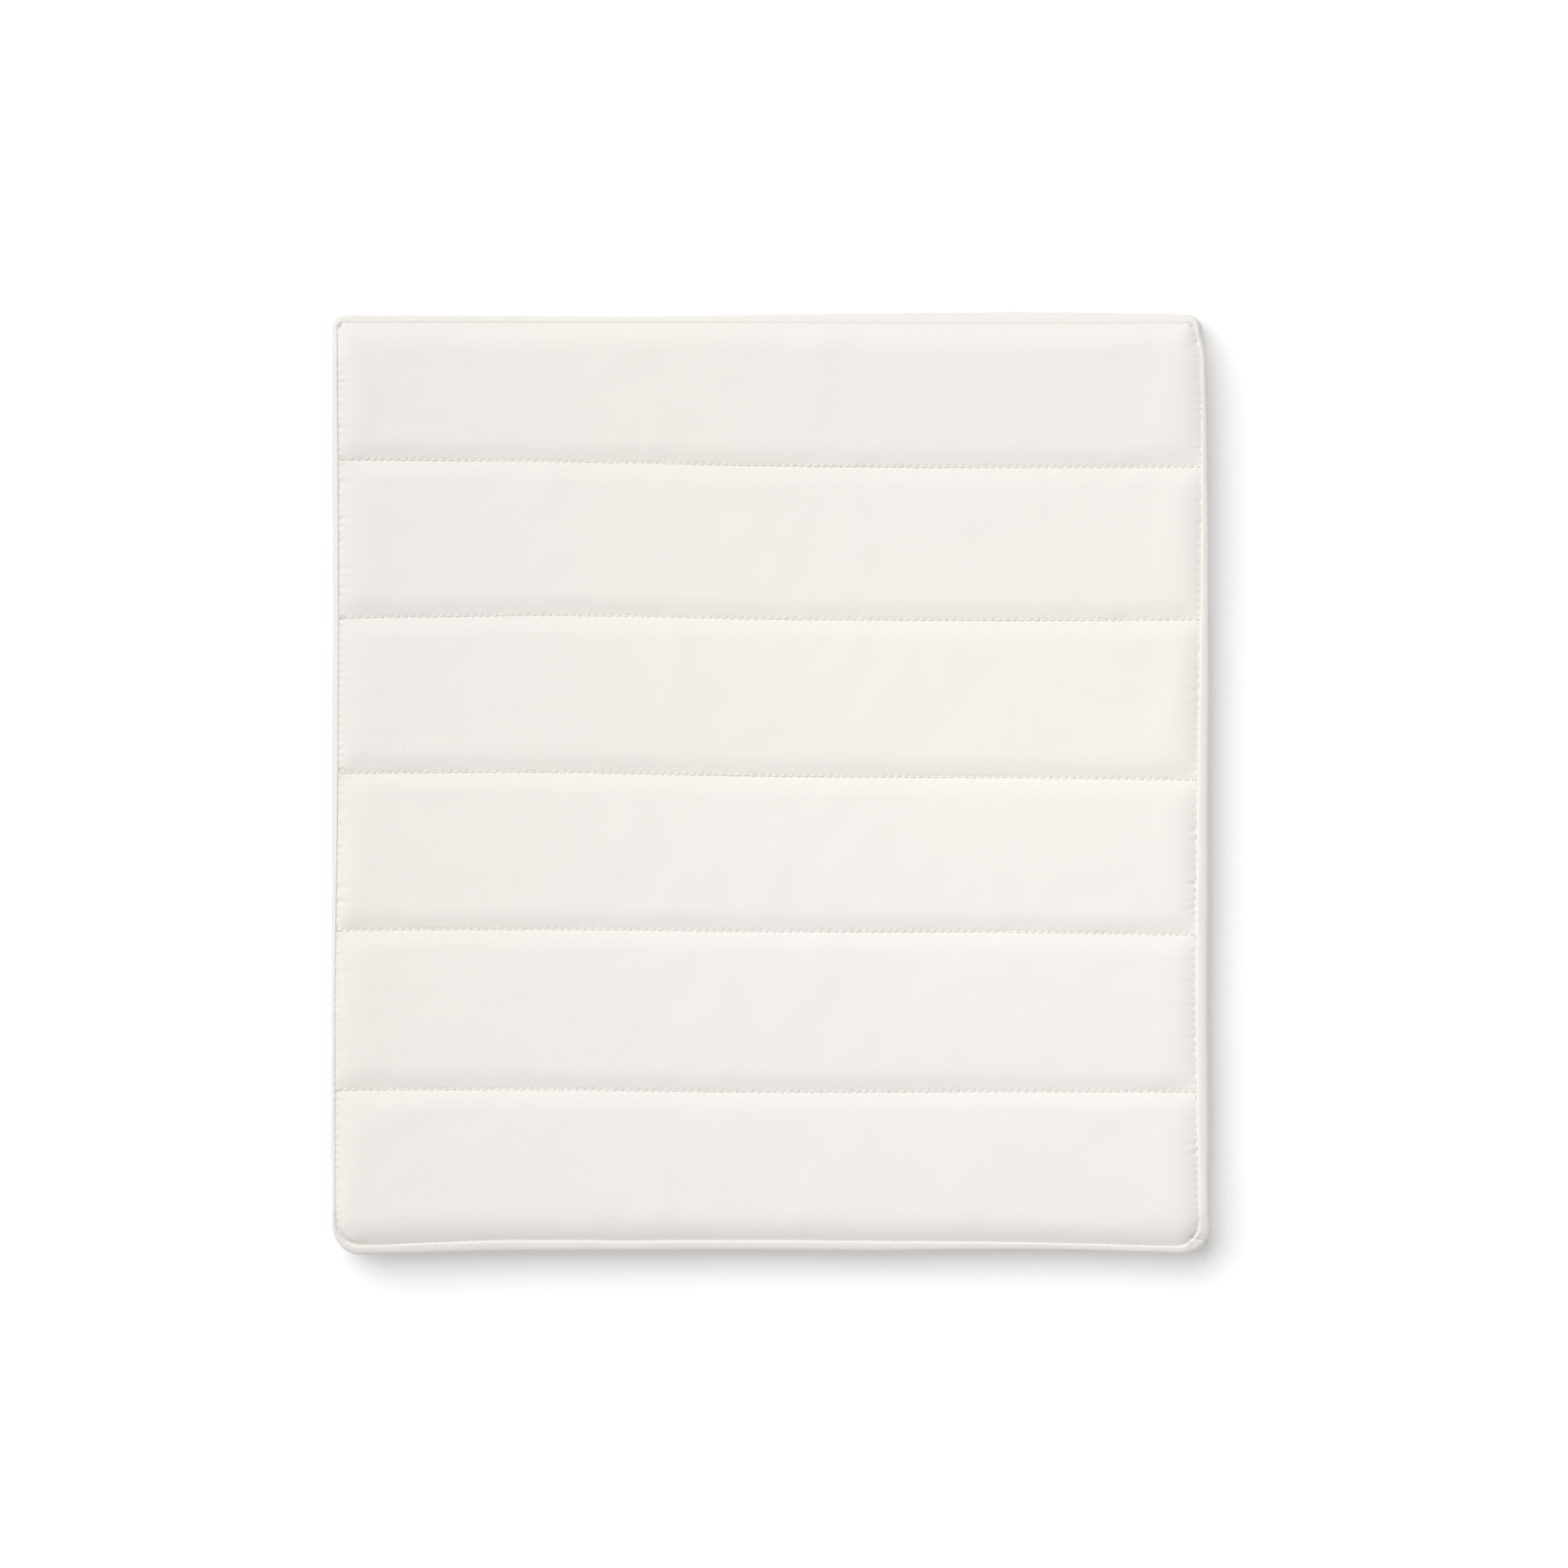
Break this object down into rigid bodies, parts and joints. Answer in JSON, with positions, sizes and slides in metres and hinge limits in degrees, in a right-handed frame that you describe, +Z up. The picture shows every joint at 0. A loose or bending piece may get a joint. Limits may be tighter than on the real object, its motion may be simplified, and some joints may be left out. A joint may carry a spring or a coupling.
{
  "type": "chair seat pad",
  "caption": "Flat cream seat pad for a chair: channel-quilted top face, swelling side band, foam core and a zip in the back band.",
  "frame": {"origin": "middle of the underside, which rests on the seat", "axes": "+X to the sitter's right, +Y to the back edge that holds the zip, +Z up through the pad"},
  "size_m": [0.402, 0.432, 0.031],
  "materials": {
    "cover_fabric": "matte",
    "wadding": "matte",
    "backing_cloth": "matte",
    "thread": "matte",
    "zip_tape": "matte",
    "zip_coil": "satin",
    "zip_metal": "satin",
    "foam": "matte"
  },
  "bodies": {
    "pad": {"top_face_fabric": "cover_fabric", "quilt_wadding": "wadding", "quilt_backing": "backing_cloth", "channel_stitch_row_1": "thread", "channel_stitch_row_2": "thread", "channel_stitch_row_3": "thread", "channel_stitch_row_4": "thread", "channel_stitch_row_5": "thread", "top_seam_stitch": "thread", "bottom_seam_stitch": "thread", "bottom_panel": "cover_fabric", "boxing_long_strip": "cover_fabric", "boxing_short_strip": "cover_fabric", "foam_core": "foam", "placket_upper": "cover_fabric", "placket_lower": "cover_fabric", "placket_stitch_upper": "thread", "placket_stitch_lower": "thread", "zip_tape_upper": "zip_tape", "zip_tape_lower": "zip_tape", "zip_coil_upper": "zip_coil", "zip_coil_lower": "zip_coil", "zip_end_tack_left": "thread", "zip_end_tack_right": "thread"},
    "slider": {"zip_slider": "zip_metal"},
    "pull_tab": {"pull_tab": "zip_metal"}
  },
  "joints": [
    {"name": "zip_slide", "type": "slide", "parent": "pad", "child": "slider", "axis": [-1, 0, 0], "range_m": [0, 0.29]},
    {"name": "pull_tab_swing", "type": "hinge", "parent": "slider", "child": "pull_tab", "pos_m": [0.149, 0.21425, 0.013], "axis": [0, 0, -1], "range_deg": [0, 160]}
  ]
}
